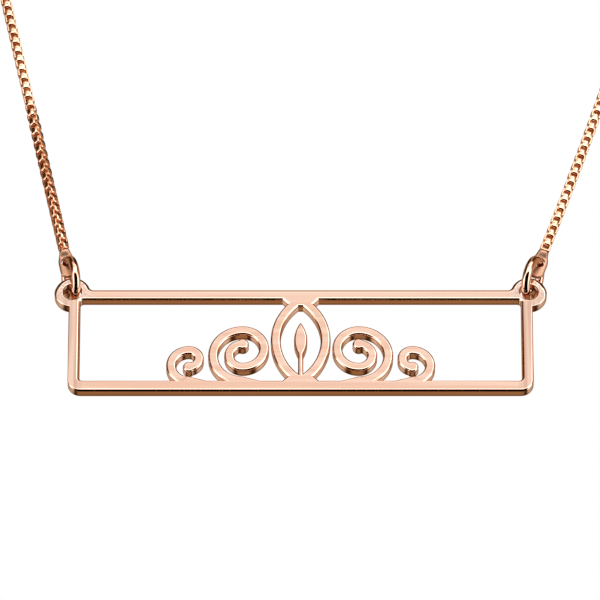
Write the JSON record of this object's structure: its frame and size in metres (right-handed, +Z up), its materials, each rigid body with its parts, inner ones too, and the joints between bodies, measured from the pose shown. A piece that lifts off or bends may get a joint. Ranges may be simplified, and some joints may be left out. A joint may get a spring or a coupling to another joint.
{
  "type": "bar pendant necklace",
  "caption": "Fine box-chain necklace with a wide open rectangular frame pendant, pierced inside with a leaf and scrolls, hung from both upper corners by jump rings.",
  "frame": {"origin": "where the closure ring touches the back of the neck, at the top of the hanging loop", "axes": "+Z up as worn, -Y forward: the pendant's front face looks along -Y, and +X is to the right as seen from the front"},
  "size_m": [0.101, 0.0914, 0.1361],
  "materials": {
    "satin_rose_gold": "satin",
    "polished_rose_gold": "polished",
    "chain_rose_gold": "polished"
  },
  "bodies": {
    "loop": {"jump_ring_left": "polished_rose_gold", "jump_ring_right": "polished_rose_gold", "chain_end_left": "polished_rose_gold", "chain_end_right": "polished_rose_gold", "chain_left": "chain_rose_gold", "chain_right": "chain_rose_gold", "back_end_left": "polished_rose_gold", "back_end_right": "polished_rose_gold", "clasp": "polished_rose_gold"},
    "pendant": {"nameplate": "satin_rose_gold"}
  },
  "joints": [
    {"name": "pendant_swing", "type": "hinge", "parent": "loop", "child": "pendant", "pos_m": [0, -0.088, -0.12155], "axis": [1, 0, 0], "range_deg": [-30, 30]}
  ]
}
